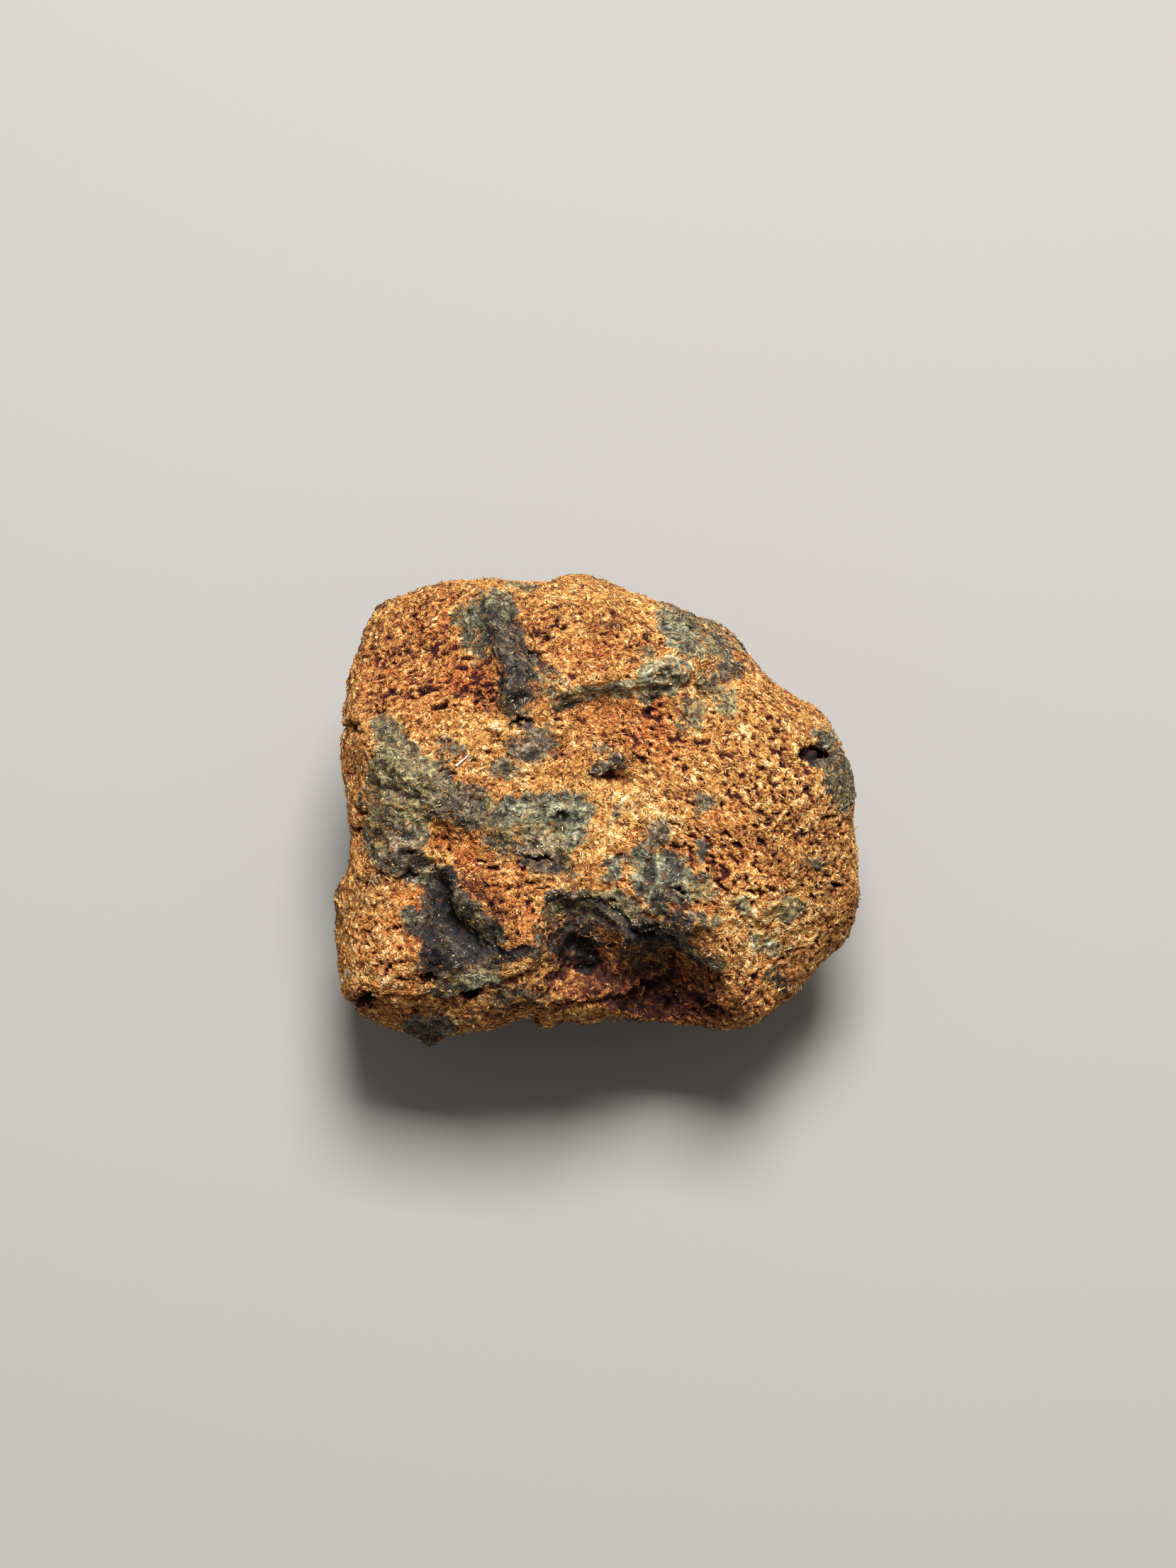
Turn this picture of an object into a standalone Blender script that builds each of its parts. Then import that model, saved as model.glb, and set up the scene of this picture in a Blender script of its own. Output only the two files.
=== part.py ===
"""A rusted iron meteorite fragment, about 15 mm across, lying on the flattest spot of its back.

It is one natural piece, so it is one object. Inside the functions 1 unit is 1 mm, and the finished
mesh is scaled to metres at the end.

The stone is shaped in the frame of its broad face: u to the right, v up across the face and w out of
the face. It is then tipped back on to the flat spot it rests on, which gives the usual X, Y and Z.
"""

import math
from collections import namedtuple

import bmesh
import bpy
import numpy as np
from mathutils import Matrix, Vector, noise

MM = 0.001

# Driving dimensions, in mm and degrees
FACE_HEIGHT = 3.3  # from the girdle, the widest level, out to the broad face
BACK_DEPTH = 4.9  # from the girdle to the deepest part of the back
TIP_DEG = 15.0  # how far the broad face is tipped away from level, towards -Y
REST_SLICE = 0.48  # how much of the lowest swelling is worn off flat
BODY_SUBDIVISIONS = 6
SURFACE_GRID = 0.17  # spacing of the even surface that takes the relief
TRIANGLES = 9400
SEED = 6592

# The outline of the girdle, looking at the broad face, anticlockwise from the right
OUTLINE = [
    (7.28, 0.55), (7.26, 1.42), (6.88, 2.12), (6.20, 2.80), (5.35, 3.30), (4.63, 3.88),
    (3.97, 4.54), (3.10, 5.14), (2.06, 5.56), (1.10, 5.74), (0.34, 6.33), (-0.55, 6.56),
    (-1.50, 6.38), (-2.55, 6.48), (-3.66, 6.66), (-4.40, 6.58), (-5.16, 6.33), (-6.20, 6.15),
    (-6.78, 5.66), (-7.05, 4.61), (-7.32, 3.67), (-7.34, 2.43), (-7.14, 1.00), (-6.92, -0.30),
    (-6.96, -1.75), (-7.22, -2.35), (-7.52, -3.70), (-7.80, -5.34), (-7.80, -6.46), (-6.66, -6.66),
    (-5.34, -6.54), (-4.08, -6.40), (-2.24, -6.00), (-0.30, -5.82), (1.76, -5.84), (3.32, -5.84),
    (4.42, -5.76), (5.60, -5.22), (6.44, -4.56), (7.24, -3.88), (7.46, -2.47), (7.34, -1.00),
]

# How square the upper edge is in each direction: 2 is a dome, 6 nearly a sharp corner
EDGE_SQUARENESS = [
    ("right", 0, 3.4), ("upper right", 40, 3.6), ("top", 90, 3.2), ("upper left", 140, 2.8),
    ("left", 180, 5.4), ("lower left", 222, 5.2), ("bottom", 270, 5.8), ("lower right", 320, 3.8),
]
BACK_SQUARENESS = 2.9

# Flat facets knocked off the body: direction across the face, lift out of the face, distance
Facet = namedtuple("Facet", "name heading lift distance")
FACETS = [
    Facet("upper right bevel", 52, 42, 5.75),
    Facet("upper left bevel", 140, 52, 5.75),
    Facet("right flank", -34, 48, 5.95),
    Facet("left flank", 186, 24, 7.15),
    Facet("lower lip", 262, 46, 5.60),
    Facet("lower right underside", -40, -36, 6.75),
    Facet("lower left underside", 224, -32, 7.70),
    Facet("back left", 170, -50, 5.85),
    Facet("back right", 14, -46, 5.95),
    Facet("back top", 86, -44, 5.80),
    Facet("back bottom", 272, -38, 5.60),
]
FACET_SHARPNESS = 14

# Bites out of the lower edge and the corners: centre, half lengths and turn about w
Scoop = namedtuple("Scoop", "name centre half_lengths turn")
SCOOPS = [
    Scoop("left scoop of the lower hollow", (-0.40, -4.45, 3.90), (1.50, 2.00, 2.35), 8),
    Scoop("right scoop of the lower hollow", (1.80, -5.05, 3.50), (1.75, 1.75, 2.70), -24),
    Scoop("cave under the lower edge", (2.05, -5.45, 1.95), (1.40, 0.62, 1.45), -8),
    Scoop("notch in the lower left corner", (-6.50, -5.60, 2.90), (0.70, 0.24, 0.75), 22),
    Scoop("slit near the right edge", (6.22, 1.66, 2.30), (0.42, 0.19, 0.85), -14),
]

# Pieces that stand out of the body and grew with it
Lump = namedtuple("Lump", "name centre half_lengths turn")
LUMPS = [
    Lump("flake at the lower edge", (-4.70, -6.02, 0.45), (0.52, 0.56, 0.42), 14),
    Lump("shelf below the left scoop", (-0.50, -5.25, 1.40), (1.55, 0.62, 0.85), 8),
]

# Broad mounds and basins of the face: place, half lengths, turn and height
Swell = namedtuple("Swell", "name u v along across turn height")
SWELLS = [
    Swell("dark rib", -2.55, 4.55, 1.60, 0.40, 106, 0.42),
    Swell("foot of the dark rib", -2.40, 3.15, 0.50, 0.40, 90, 0.20),
    Swell("upper left basin", -4.60, 4.10, 1.50, 1.20, 30, -0.30),
    Swell("upper basin", -0.25, 4.75, 1.45, 0.80, -8, -0.26),
    Swell("long ledge", 0.40, 3.62, 1.60, 0.24, 10, 0.34),
    Swell("grey shoulder", 2.15, 4.20, 1.00, 0.60, 48, 0.36),
    Swell("trough under the ledge", 0.60, 2.60, 1.70, 0.50, 4, -0.22),
    Swell("middle swell", -1.20, -0.10, 2.20, 1.05, -10, 0.24),
    Swell("left ridge", -4.95, 0.95, 1.60, 0.46, -38, 0.38),
    Swell("left ridge, upper end", -6.05, 1.90, 0.80, 0.34, -60, 0.18),
    Swell("charcoal knob", -5.35, -1.45, 0.60, 0.46, 16, 0.40),
    Swell("orange pocket", -4.20, -0.90, 0.50, 0.36, -60, -0.30),
    Swell("dark triangle", -3.90, -3.05, 1.05, 0.80, -50, -0.42),
    Swell("glinting rib", -4.20, -3.85, 0.90, 0.22, -44, 0.28),
    Swell("corner block", -6.00, -4.60, 1.10, 1.20, 0, 0.18),
    Swell("spur above the hollow", -2.10, -3.30, 1.00, 0.36, -62, 0.24),
    Swell("grey plate", 1.95, -2.05, 0.78, 0.62, -30, 0.26),
    Swell("flap over the hollow", 2.50, -3.02, 0.62, 0.24, -28, 0.34),
    Swell("small ridge", 1.40, -0.95, 0.75, 0.20, 58, 0.18),
    Swell("right field", 4.60, 0.40, 1.90, 2.10, 0, 0.20),
    Swell("right dimple", 3.60, 2.00, 1.20, 0.80, -35, -0.14),
    Swell("lower right hollow", 4.70, -3.90, 1.50, 0.80, -38, -0.18),
]

# Steps in the face: the ground on the right of the line, going along it, lies lower by the drop
Ledge = namedtuple("Ledge", "name line drop reach")
LEDGES = [
    Ledge("plateau edge", [(-4.45, -1.45), (-3.80, -2.30), (-3.10, -3.10), (-2.66, -3.60)], 0.50, 1.00),
    Ledge("rib flank", [(-2.00, 4.15), (-2.28, 4.80), (-2.62, 5.35)], 0.26, 0.50),
    Ledge("long ledge drop", [(-1.05, 2.95), (-0.30, 3.22), (0.60, 3.36), (1.75, 3.42), (2.60, 3.60)], 0.34, 0.85),
    Ledge("middle step", [(-0.10, 0.96), (0.35, 1.04), (0.80, 1.02)], 0.24, 0.45),
    Ledge("left side edge", [(-6.42, 1.15), (-6.52, 0.20), (-6.50, -0.90)], 0.20, 0.60),
]

# Worn thumbprints and knobs of the sides and the back: place, radius and height
Dent = namedtuple("Dent", "name place radius height")
DENTS = [
    Dent("knob on the left edge", (-7.10, -2.55, 0.50), 0.42, 0.16),
    Dent("top side thumbprint", (-1.60, 6.20, -1.90), 1.60, -0.50),
    Dent("top side knob", (1.20, 5.90, -1.60), 1.00, 0.26),
    Dent("upper left thumbprint", (-6.20, 4.60, -1.90), 1.50, -0.44),
    Dent("right side thumbprint", (7.00, -0.60, -2.10), 1.60, -0.48),
    Dent("right side ridge", (6.60, 2.60, -1.60), 0.90, 0.26),
    Dent("back thumbprint, right", (3.70, 1.50, -4.10), 1.70, -0.55),
    Dent("back thumbprint, left", (-3.90, 2.40, -3.90), 1.80, -0.55),
    Dent("back thumbprint, lower", (-3.30, -4.00, -3.60), 1.60, -0.50),
    Dent("back thumbprint, edge", (3.60, -4.40, -3.20), 1.50, -0.46),
    Dent("back ridge", (0.10, 4.10, -4.00), 1.00, 0.32),
    Dent("back knob", (-6.10, -1.60, -2.60), 1.00, 0.30),
    Dent("resting swell", (-0.20, 0.60, -4.90), 2.30, 0.36),
]

# Weathering of the whole surface: size of the bumps, height, and how ridged they are
Weathering = namedtuple("Weathering", "size height ridged")
WEATHERING = [
    Weathering(4.4, 0.26, False),
    Weathering(1.7, 0.09, False),
    Weathering(1.0, 0.05, True),
]

RUST = (0.42, 0.22, 0.08)
RUST_ROUGHNESS = 0.85
RUST_METALLIC = 0.1


def clear_scene():
    for thing in list(bpy.data.objects):
        bpy.data.objects.remove(thing)


def new_collection(name):
    made = bpy.data.collections.new(name)
    bpy.context.scene.collection.children.link(made)
    return made


def smooth_step(x):
    t = np.clip(x, 0.0, 1.0)
    return t * t * (3 - 2 * t)


def direction(heading, lift):
    """Unit vector from two angles in degrees: round the face from +u, then out of the face."""
    a, b = math.radians(heading), math.radians(lift)
    return np.array([math.cos(a) * math.cos(b), math.sin(a) * math.cos(b), math.sin(b)])


def closed_curve(points, steps=10):
    """Points along a smooth closed curve through the given ones (Catmull-Rom)."""
    p = np.array(points)
    before, after, beyond = np.roll(p, 1, 0), np.roll(p, -1, 0), np.roll(p, -2, 0)
    made = []
    for k in range(steps):
        t = k / steps
        made.append(
            0.5 * (2 * p + (after - before) * t
                   + (2 * before - 5 * p + 4 * after - beyond) * t**2
                   + (3 * p - before - 3 * after + beyond) * t**3)
        )
    return np.stack(made, 1).reshape(-1, 2)


def outline_radius(angle):
    """Distance from the middle to the outline at each angle."""
    curve = closed_curve(OUTLINE)
    at = np.arctan2(curve[:, 1], curve[:, 0])
    order = np.argsort(at)
    return np.interp(angle, at[order], np.hypot(*curve.T)[order], period=2 * math.pi)


def squareness(angle):
    at = np.radians([row[1] for row in EDGE_SQUARENESS])
    return np.interp(angle, at, [row[2] for row in EDGE_SQUARENESS], period=2 * math.pi)


def body_radius(d):
    """Distance from the middle to the faceted body along each unit direction d."""
    across, out = np.hypot(d[:, 0], d[:, 1]), d[:, 2]
    angle = np.arctan2(d[:, 1], d[:, 0])
    power = np.where(out > 0, squareness(angle), BACK_SQUARENESS)
    reach = np.where(out > 0, FACE_HEIGHT, BACK_DEPTH)
    rounded = (across / outline_radius(angle)) ** power + (np.abs(out) / reach) ** power
    total = rounded ** (FACET_SHARPNESS / power)
    for facet in FACETS:
        facing = np.clip(d @ direction(facet.heading, facet.lift), 0, None)
        total += (facing / facet.distance) ** FACET_SHARPNESS
    return total ** (-1 / FACET_SHARPNESS)


def points_of(mesh):
    found = np.empty(len(mesh.vertices) * 3)
    mesh.vertices.foreach_get("co", found)
    return found.reshape(-1, 3)


def normals_of(mesh):
    found = np.empty(len(mesh.vertices) * 3)
    mesh.vertices.foreach_get("normal", found)
    return found.reshape(-1, 3)


def set_points(mesh, points):
    mesh.vertices.foreach_set("co", points.ravel())
    mesh.update()


def make_body(home):
    bpy.ops.mesh.primitive_ico_sphere_add(subdivisions=BODY_SUBDIVISIONS, radius=1)
    body = bpy.context.object
    d = points_of(body.data)
    d /= np.linalg.norm(d, axis=1)[:, None]
    set_points(body.data, d * body_radius(d)[:, None])
    move_to(body, home)
    return body


def move_to(thing, home):
    for place in list(thing.users_collection):
        place.objects.unlink(thing)
    home.objects.link(thing)


def make_pebble(row, home):
    """A lumpy ellipsoid, used to bite into the body or to grow on it."""
    bpy.ops.mesh.primitive_ico_sphere_add(subdivisions=4, radius=1)
    pebble = bpy.context.object
    pebble.name = row.name
    points = points_of(pebble.data)
    shift = Vector(row.centre)
    swell = [1 + 0.16 * noise.noise(Vector(p) * 1.7 + shift) for p in points]
    points = points * np.array(swell)[:, None] * np.array(row.half_lengths)
    set_points(pebble.data, points)
    turn = Matrix.Rotation(math.radians(row.turn), 4, "Z")
    pebble.data.transform(Matrix.Translation(shift) @ turn)
    pebble.hide_render = True
    pebble.display_type = "WIRE"
    move_to(pebble, home)
    return pebble


def add_boolean(body, other, operation):
    modifier = body.modifiers.new(other.name, "BOOLEAN")
    modifier.operation = operation
    modifier.solver = "EXACT"
    modifier.object = other


def apply_modifiers(thing):
    """Gives the object the mesh that its modifiers make, and removes them."""
    graph = bpy.context.evaluated_depsgraph_get()
    made = bpy.data.meshes.new_from_object(thing.evaluated_get(graph))
    thing.modifiers.clear()
    thing.data = made


def even_out(thing):
    """Spreads the faces evenly over the surface, and rounds the cut edges a little."""
    remesh = thing.modifiers.new("even surface", "REMESH")
    remesh.mode = "VOXEL"
    remesh.voxel_size = SURFACE_GRID
    soften = thing.modifiers.new("soften", "SMOOTH")
    soften.factor = 0.5
    soften.iterations = 2
    apply_modifiers(thing)


def swell_height(row, u, v):
    a = math.radians(row.turn)
    along = (u - row.u) * math.cos(a) + (v - row.v) * math.sin(a)
    across = (v - row.v) * math.cos(a) - (u - row.u) * math.sin(a)
    return row.height * np.exp(-((along / row.along) ** 2) - (across / row.across) ** 2)


def ledge_height(row, u, v):
    """Nothing on the left of the line, and a drop on its right that fades with distance."""
    nearest = np.full(len(u), np.inf)
    side = np.zeros(len(u))
    for (u0, v0), (u1, v1) in zip(row.line, row.line[1:]):
        du, dv = u1 - u0, v1 - v0
        length = math.hypot(du, dv)
        along = np.clip(((u - u0) * du + (v - v0) * dv) / length**2, 0, 1)
        away = np.hypot(u - u0 - along * du, v - v0 - along * dv)
        closer = away < nearest
        nearest = np.where(closer, away, nearest)
        side = np.where(closer, (du * (v - v0) - dv * (u - u0)) / length, side)
    edge_width = 0.12
    beside = smooth_step(0.5 - side / (2 * edge_width))
    # A point past the end of the line is further from it than from its straight extension.
    past_end = np.clip(nearest - np.abs(side), 0, None)
    return -row.drop * beside * np.exp(-nearest / row.reach) * np.exp(-((past_end / 0.25) ** 2))


def weathering_height(points):
    total = np.zeros(len(points))
    for k, layer in enumerate(WEATHERING):
        shift = Vector((SEED % 97 + 13 * k, 7 * k, 3 * k))
        wave = np.array([noise.noise(Vector(p) / layer.size + shift) for p in points])
        total += layer.height * ((0.55 - 2.2 * np.abs(wave)) if layer.ridged else 1.6 * wave)
    return total


def add_relief(thing):
    """Moves the surface in and out along its normals by all the named features."""
    points, normals = points_of(thing.data), normals_of(thing.data)
    u, v = points[:, 0], points[:, 1]
    on_face = smooth_step((normals[:, 2] - 0.05) / 0.4)
    height = sum(swell_height(row, u, v) for row in SWELLS) * on_face
    height += sum(ledge_height(row, u, v) for row in LEDGES) * on_face
    for row in DENTS:
        away = np.linalg.norm(points - row.place, axis=1)
        height += row.height * np.exp(-((away / row.radius) ** 2))
    height += weathering_height(points)
    set_points(thing.data, points + normals * height[:, None])


def thin_out(thing):
    thing.data.calc_loop_triangles()
    decimate = thing.modifiers.new("fewer triangles", "DECIMATE")
    decimate.ratio = TRIANGLES / len(thing.data.loop_triangles)
    decimate.use_collapse_triangulate = True
    apply_modifiers(thing)


def rest_on_flat_spot(thing):
    """Tips the stone back, wears a flat spot on its lowest side, and sets that on the ground."""
    mesh = thing.data
    mesh.transform(Matrix.Rotation(math.radians(TIP_DEG), 4, "X"))
    ground = points_of(mesh)[:, 2].min() + REST_SLICE
    shape = bmesh.new()
    shape.from_mesh(mesh)
    everything = shape.verts[:] + shape.edges[:] + shape.faces[:]
    cut = bmesh.ops.bisect_plane(
        shape, geom=everything, plane_co=(0, 0, ground), plane_no=(0, 0, -1), clear_outer=True
    )
    rim = [piece for piece in cut["geom_cut"] if isinstance(piece, bmesh.types.BMEdge)]
    bmesh.ops.holes_fill(shape, edges=rim)
    bmesh.ops.triangulate(shape, faces=[face for face in shape.faces if len(face.verts) > 3])
    bmesh.ops.recalc_face_normals(shape, faces=shape.faces)
    shape.to_mesh(mesh)
    shape.free()
    points = points_of(mesh)
    middle = (points.min(0) + points.max(0)) / 2
    mesh.transform(Matrix.Translation((-middle[0], -middle[1], -ground)))


def rust_material():
    made = bpy.data.materials.new("rusted iron")
    made.use_nodes = True
    shader = made.node_tree.nodes["Principled BSDF"]
    shader.inputs["Base Color"].default_value = (*RUST, 1)
    shader.inputs["Roughness"].default_value = RUST_ROUGHNESS
    shader.inputs["Metallic"].default_value = RUST_METALLIC
    return made


def main():
    clear_scene()
    stone_home = new_collection("iron meteorite")
    cutter_home = new_collection("cutters")
    stone = make_body(stone_home)
    stone.name = stone.data.name = "meteorite"
    for row in SCOOPS:
        add_boolean(stone, make_pebble(row, cutter_home), "DIFFERENCE")
    for row in LUMPS:
        add_boolean(stone, make_pebble(row, cutter_home), "UNION")
    apply_modifiers(stone)
    even_out(stone)
    add_relief(stone)
    thin_out(stone)
    rest_on_flat_spot(stone)
    stone.data.transform(Matrix.Scale(MM, 4))
    stone.data.materials.append(rust_material())
    stone.data.name = "meteorite"


main()
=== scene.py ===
# %% [markdown]
# # A rusted iron meteorite
#
# This lesson dresses a plain solid of a small iron meteorite, about 15 mm across. The real stone is a
# lump of nickel-iron that has rusted for a long time: a crumbly coat of ochre and red-brown rust, with
# plates of hard, dark grey-green crust showing through it. The solid already has the broad shape. Here
# it gets its fine relief, its rust and crust, a floor, light and a camera.

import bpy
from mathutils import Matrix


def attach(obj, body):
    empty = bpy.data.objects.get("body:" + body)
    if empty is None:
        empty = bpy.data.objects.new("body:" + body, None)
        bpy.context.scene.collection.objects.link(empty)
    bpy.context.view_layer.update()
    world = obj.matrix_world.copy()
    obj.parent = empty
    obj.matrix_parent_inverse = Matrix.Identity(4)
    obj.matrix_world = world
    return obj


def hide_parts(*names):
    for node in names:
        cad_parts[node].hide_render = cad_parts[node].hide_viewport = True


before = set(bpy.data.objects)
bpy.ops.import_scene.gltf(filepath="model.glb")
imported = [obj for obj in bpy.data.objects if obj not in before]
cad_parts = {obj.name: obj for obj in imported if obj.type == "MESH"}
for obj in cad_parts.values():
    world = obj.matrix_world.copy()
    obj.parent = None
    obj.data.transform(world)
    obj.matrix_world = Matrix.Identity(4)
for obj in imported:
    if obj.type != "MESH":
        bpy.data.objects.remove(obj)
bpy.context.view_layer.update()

# %% [markdown]
# Everything here is worked out in millimetres, because the stone is small and Blender's tools round off
# sizes under a tenth of a millimetre. The finished mesh is scaled back to metres.
#
# The broad face of the stone is tipped 15 degrees away from level. Its own directions are u to the
# right, v up across the face and w straight out of it, and places on the face are given as u and v
# from the middle of the stone, as they show from 120 mm in front.

# %% Sizes and directions
import math
from collections import namedtuple

import bpy
import numpy as np
from mathutils import Matrix, Vector, noise

MM = 0.001
TIP = math.radians(15)
FACE_UP = np.array([0, math.cos(TIP), math.sin(TIP)])
FACE_OUT = np.array([0, -math.sin(TIP), math.cos(TIP)])
VIEW_DISTANCE = 120.0


def smooth_step(low, high, x):
    t = np.clip((x - low) / (high - low), 0, 1)
    return t * t * (3 - 2 * t)


def read_points(mesh, kind):
    found = np.empty(len(mesh.vertices) * 3)
    mesh.vertices.foreach_get(kind, found)
    return found.reshape(-1, 3)


def middle_along(points, direction):
    reach = points @ direction
    return (reach.min() + reach.max()) / 2


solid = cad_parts["meteorite"]
solid_points = read_points(solid.data, "co") / MM
MIDDLE_V = middle_along(solid_points, FACE_UP)
MIDDLE_W = middle_along(solid_points, FACE_OUT)


def face_position(points):
    """u and v on the broad face, as they show from the viewing distance."""
    nearer = VIEW_DISTANCE / (VIEW_DISTANCE - points @ FACE_OUT + MIDDLE_W)
    return points[:, 0] * nearer, (points @ FACE_UP - MIDDLE_V) * nearer


print("middle of the stone, mm up the face and out of it:", round(MIDDLE_V, 2), round(MIDDLE_W, 2))

# %% [markdown]
# The solid is faceted, so a copy of it is merged, remeshed into small even faces, and smoothed until the
# facets are gone. A voxel remesh does this in one step and keeps the hollows. The solid itself stays as
# it is: it still carries the weight and the collisions.

# %% Make an even skin from the solid
SKIN_GRID = 0.050
SKIN_SMOOTHING = 18
MERGE = 0.0001


def select_only(thing):
    bpy.ops.object.select_all(action="DESELECT")
    thing.select_set(True)
    bpy.context.view_layer.objects.active = thing


def apply_modifier(thing, kind, **settings):
    modifier = thing.modifiers.new(kind.lower(), kind)
    for name, value in settings.items():
        setattr(modifier, name, value)
    select_only(thing)
    bpy.ops.object.modifier_apply(modifier=modifier.name)


skin = bpy.data.objects.new("weathered_iron", solid.data.copy())
bpy.context.scene.collection.objects.link(skin)
skin.data.materials.clear()
skin.data.transform(Matrix.Scale(1 / MM, 4))
select_only(skin)
bpy.ops.object.mode_set(mode="EDIT")
bpy.ops.mesh.select_all(action="SELECT")
bpy.ops.mesh.remove_doubles(threshold=MERGE)
bpy.ops.object.mode_set(mode="OBJECT")
skin.data.remesh_voxel_size = SKIN_GRID
bpy.ops.object.voxel_remesh()
apply_modifier(skin, "SMOOTH", factor=0.5, iterations=SKIN_SMOOTHING)
print("skin has", len(skin.data.vertices), "points")

# %% [markdown]
# Relief and colour both start from the same two helpers: bumps of a given size in millimetres, and
# several layers of them. The places on the face are then pushed about a little by the same bumps, so that
# nothing drawn on it later has a smooth or straight outline.

# %% Helpers for patterns
def bumps(points, size, seed, stretch=(1, 1, 1)):
    """Even noise from -1 to 1 with bumps of about that size, in mm."""
    shift = Vector((seed * 17.3, seed * 5.1, -seed * 9.7))
    scaled = points / (size * np.array(stretch))
    return 1.9 * np.array([noise.noise(Vector(p) + shift) for p in scaled])


def crumbs(points, size, seed, layers=3):
    """Several layers of bumps, each half the size and height of the one before."""
    return sum(bumps(points, size / 2**k, seed + k) / 2**k for k in range(layers)) / (2 - 2 ** (1 - layers))


points = read_points(skin.data, "co")
normals = read_points(skin.data, "normal")
facing = normals @ FACE_OUT
on_face = smooth_step(-0.20, 0.20, facing)
u, v = face_position(points)
ragged = crumbs(points, 0.55, 11)
ragged_u = u + 0.16 * ragged + 0.05 * bumps(points, 0.17, 15)
ragged_v = v + 0.16 * crumbs(points, 0.55, 17) + 0.05 * bumps(points, 0.17, 19)
print("face spans, mm:", round(np.ptp(u), 2), "by", round(np.ptp(v), 2))


# %% [markdown]
# The dark crust is what is left of a hard oxide skin. On the broad face its plates are placed one by
# one, each as a small ellipse with a strength (how little rust dust lies on it) and a tint. Where
# ellipses overlap they grow together, and noise breaks up their edges. A strong plate stays whole, a
# weak one breaks into flecks, and one of negative strength clears a gap in those before it. The hidden
# sides get plates of the same size from noise alone.

# %% Plates of dark crust
def inside_ellipse(row, u, v):
    """1 at the middle of the ellipse, 0 on its edge, negative outside."""
    a = math.radians(row.turn)
    along = (u - row.u) * math.cos(a) + (v - row.v) * math.sin(a)
    across = (v - row.v) * math.cos(a) - (u - row.u) * math.sin(a)
    return 1 - np.hypot(along / row.along, across / row.across)


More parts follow.
